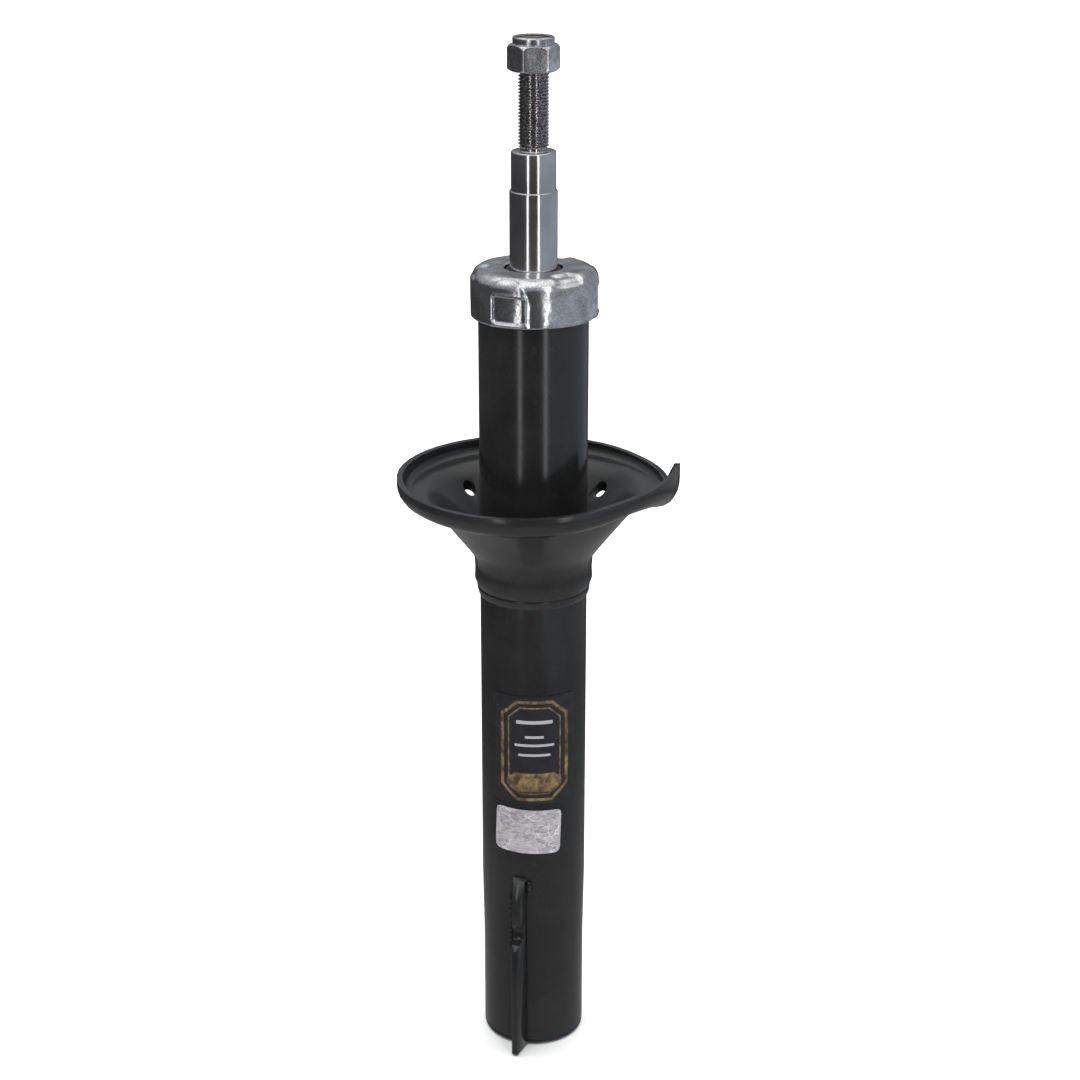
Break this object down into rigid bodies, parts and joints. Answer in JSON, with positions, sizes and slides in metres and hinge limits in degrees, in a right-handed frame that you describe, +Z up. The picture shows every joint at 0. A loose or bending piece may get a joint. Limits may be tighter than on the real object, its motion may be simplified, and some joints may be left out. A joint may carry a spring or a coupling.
{
  "type": "strut damper",
  "caption": "Twin-tube strut damper with a welded spring seat, plated bump cap, chromed sliding rod with a threaded stud and lock nut, and a locating key at its clamp end.",
  "frame": {"origin": "on the strut's axis, at the flat underside of the base cap", "axes": "+Z up the axis towards the rod's threaded end; -Y towards the front, where the labels are; +X to the right, where the spring seat's rim ends"},
  "size_m": [0.1339, 0.1292, 0.5016],
  "materials": {
    "black_paint": "semi-gloss black paint on steel",
    "cap_plating": "bright zinc plating on a steel pressing",
    "rod_chrome": "ground and hard-chromed",
    "nut_plating": "zinc plating",
    "plain_steel": "oiled steel",
    "spring_steel": "oiled spring steel",
    "sintered_iron": "sintered and oiled",
    "bronze": "sintered bronze with a low-friction lining",
    "seal_rubber": "satin black rubber",
    "band_plastic": "bronze-filled plastic",
    "nylon": "natural grey nylon",
    "label_film": "printed film, satin",
    "foil_film": "silvered film"
  },
  "bodies": {
    "barrel": {"strut_tube": "black_paint", "base_cap": "black_paint", "base_weld": "black_paint", "pressure_tube": "plain_steel", "base_valve_body": "sintered_iron", "base_valve_shims": "spring_steel", "intake_spring": "spring_steel", "base_valve_rivet": "plain_steel", "rod_guide": "sintered_iron", "guide_bushing": "bronze", "seal_washer": "plain_steel", "rod_seal": "seal_rubber", "garter_spring": "spring_steel", "bump_cap": "cap_plating", "spring_seat": "black_paint", "seat_weld": "black_paint", "locating_key": "black_paint", "key_weld_left": "black_paint", "key_weld_right": "black_paint", "spec_label": "label_film", "foil_label": "foil_film"},
    "intake_check": {"intake_check_disc": "spring_steel"},
    "band": {"piston_band": "band_plastic"},
    "rod": {"piston_rod": "rod_chrome", "piston": "sintered_iron", "piston_check_spring": "spring_steel", "backing_washer": "plain_steel", "rebound_shims": "spring_steel", "piston_nut": "plain_steel", "rebound_stop_ring": "plain_steel", "rebound_bumper": "seal_rubber"},
    "piston_check": {"piston_check_disc": "spring_steel"},
    "nut_insert": {"lock_nut_insert": "nylon"},
    "nut": {"lock_nut": "nut_plating"}
  },
  "joints": [
    {"name": "rod_slide", "type": "slide", "parent": "barrel", "child": "band", "axis": [0, 0, 1], "range_m": [-0.03, 0.135]},
    {"name": "rod_spin", "type": "hinge", "parent": "band", "child": "rod", "pos_m": [0, 0, 0], "axis": [0, 0, 1], "continuous": true},
    {"name": "nut_lift", "type": "slide", "parent": "rod", "child": "nut_insert", "axis": [0, 0, 1], "range_m": [-0.0352, 0.0136]},
    {"name": "nut_spin", "type": "hinge", "parent": "nut_insert", "child": "nut", "pos_m": [0, 0, 0.49], "axis": [0, 0, 1], "range_deg": [-8424, 3240]},
    {"name": "intake_check_lift", "type": "slide", "parent": "barrel", "child": "intake_check", "axis": [0, 0, 1], "range_m": [0, 0.0008], "stiffness_N_per_m": 400, "springref_m": -0.001, "deforming": ["intake_spring"]},
    {"name": "piston_check_lift", "type": "slide", "parent": "rod", "child": "piston_check", "axis": [0, 0, 1], "range_m": [0, 0.0008], "stiffness_N_per_m": 400, "springref_m": -0.001, "deforming": ["piston_check_spring"]}
  ],
  "couplings": [
    {"joint": "nut_lift", "follows": "nut_spin", "m_per_rad": 0.00023873}
  ]
}
